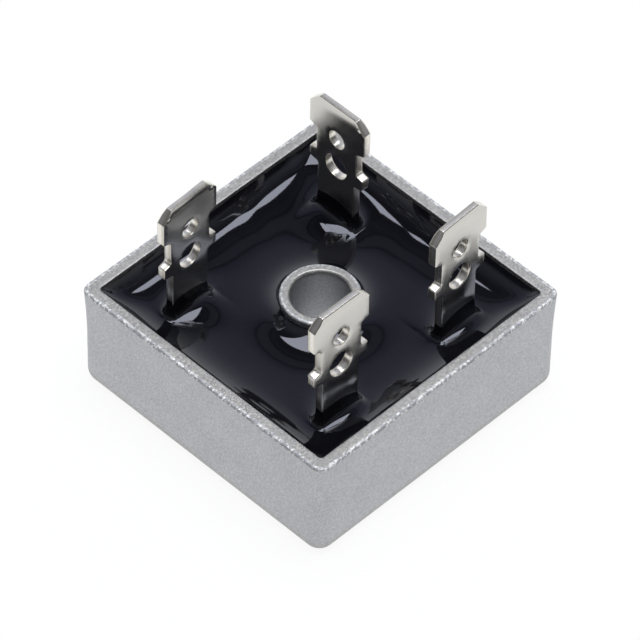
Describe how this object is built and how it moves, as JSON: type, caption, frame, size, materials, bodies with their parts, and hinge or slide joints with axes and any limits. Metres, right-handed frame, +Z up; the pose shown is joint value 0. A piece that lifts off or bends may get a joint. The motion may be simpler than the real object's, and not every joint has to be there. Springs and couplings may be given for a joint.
{
  "type": "bridge rectifier",
  "caption": "Square metal-case bridge rectifier, potted in black resin, with push-on tabs for alternating and direct current and a central screw hole.",
  "frame": {"origin": "middle of the underside that lies on the heat sink, on the axis of the screw hole", "axes": "+Z up, from the underside towards the tips of the tabs; X and Y along the sides of the case"},
  "size_m": [0.0286, 0.0286, 0.0222],
  "materials": {
    "aluminium": "satin as-cast",
    "resin": "glossy black potting resin",
    "plated": "satin tin-nickel plate",
    "copper": "bare copper strip",
    "ceramic": "white fired ceramic",
    "silicon": "smooth grey silicon",
    "solder": "dull solder"
  },
  "bodies": {
    "root": {"case": "aluminium", "insulating_plate": "ceramic", "plate_positive": "copper", "plate_negative": "copper", "jumper_ac_left": "copper", "jumper_ac_right": "copper", "die_left_positive": "silicon", "die_right_positive": "silicon", "die_right_negative": "silicon", "die_left_negative": "silicon", "solder_under_dies": "solder", "solder_over_dies": "solder", "solder_under_feet": "solder", "terminal_positive": "plated", "terminal_negative": "plated", "terminal_ac_left": "plated", "terminal_ac_right": "plated", "resin": "resin"}
  },
  "joints": []
}
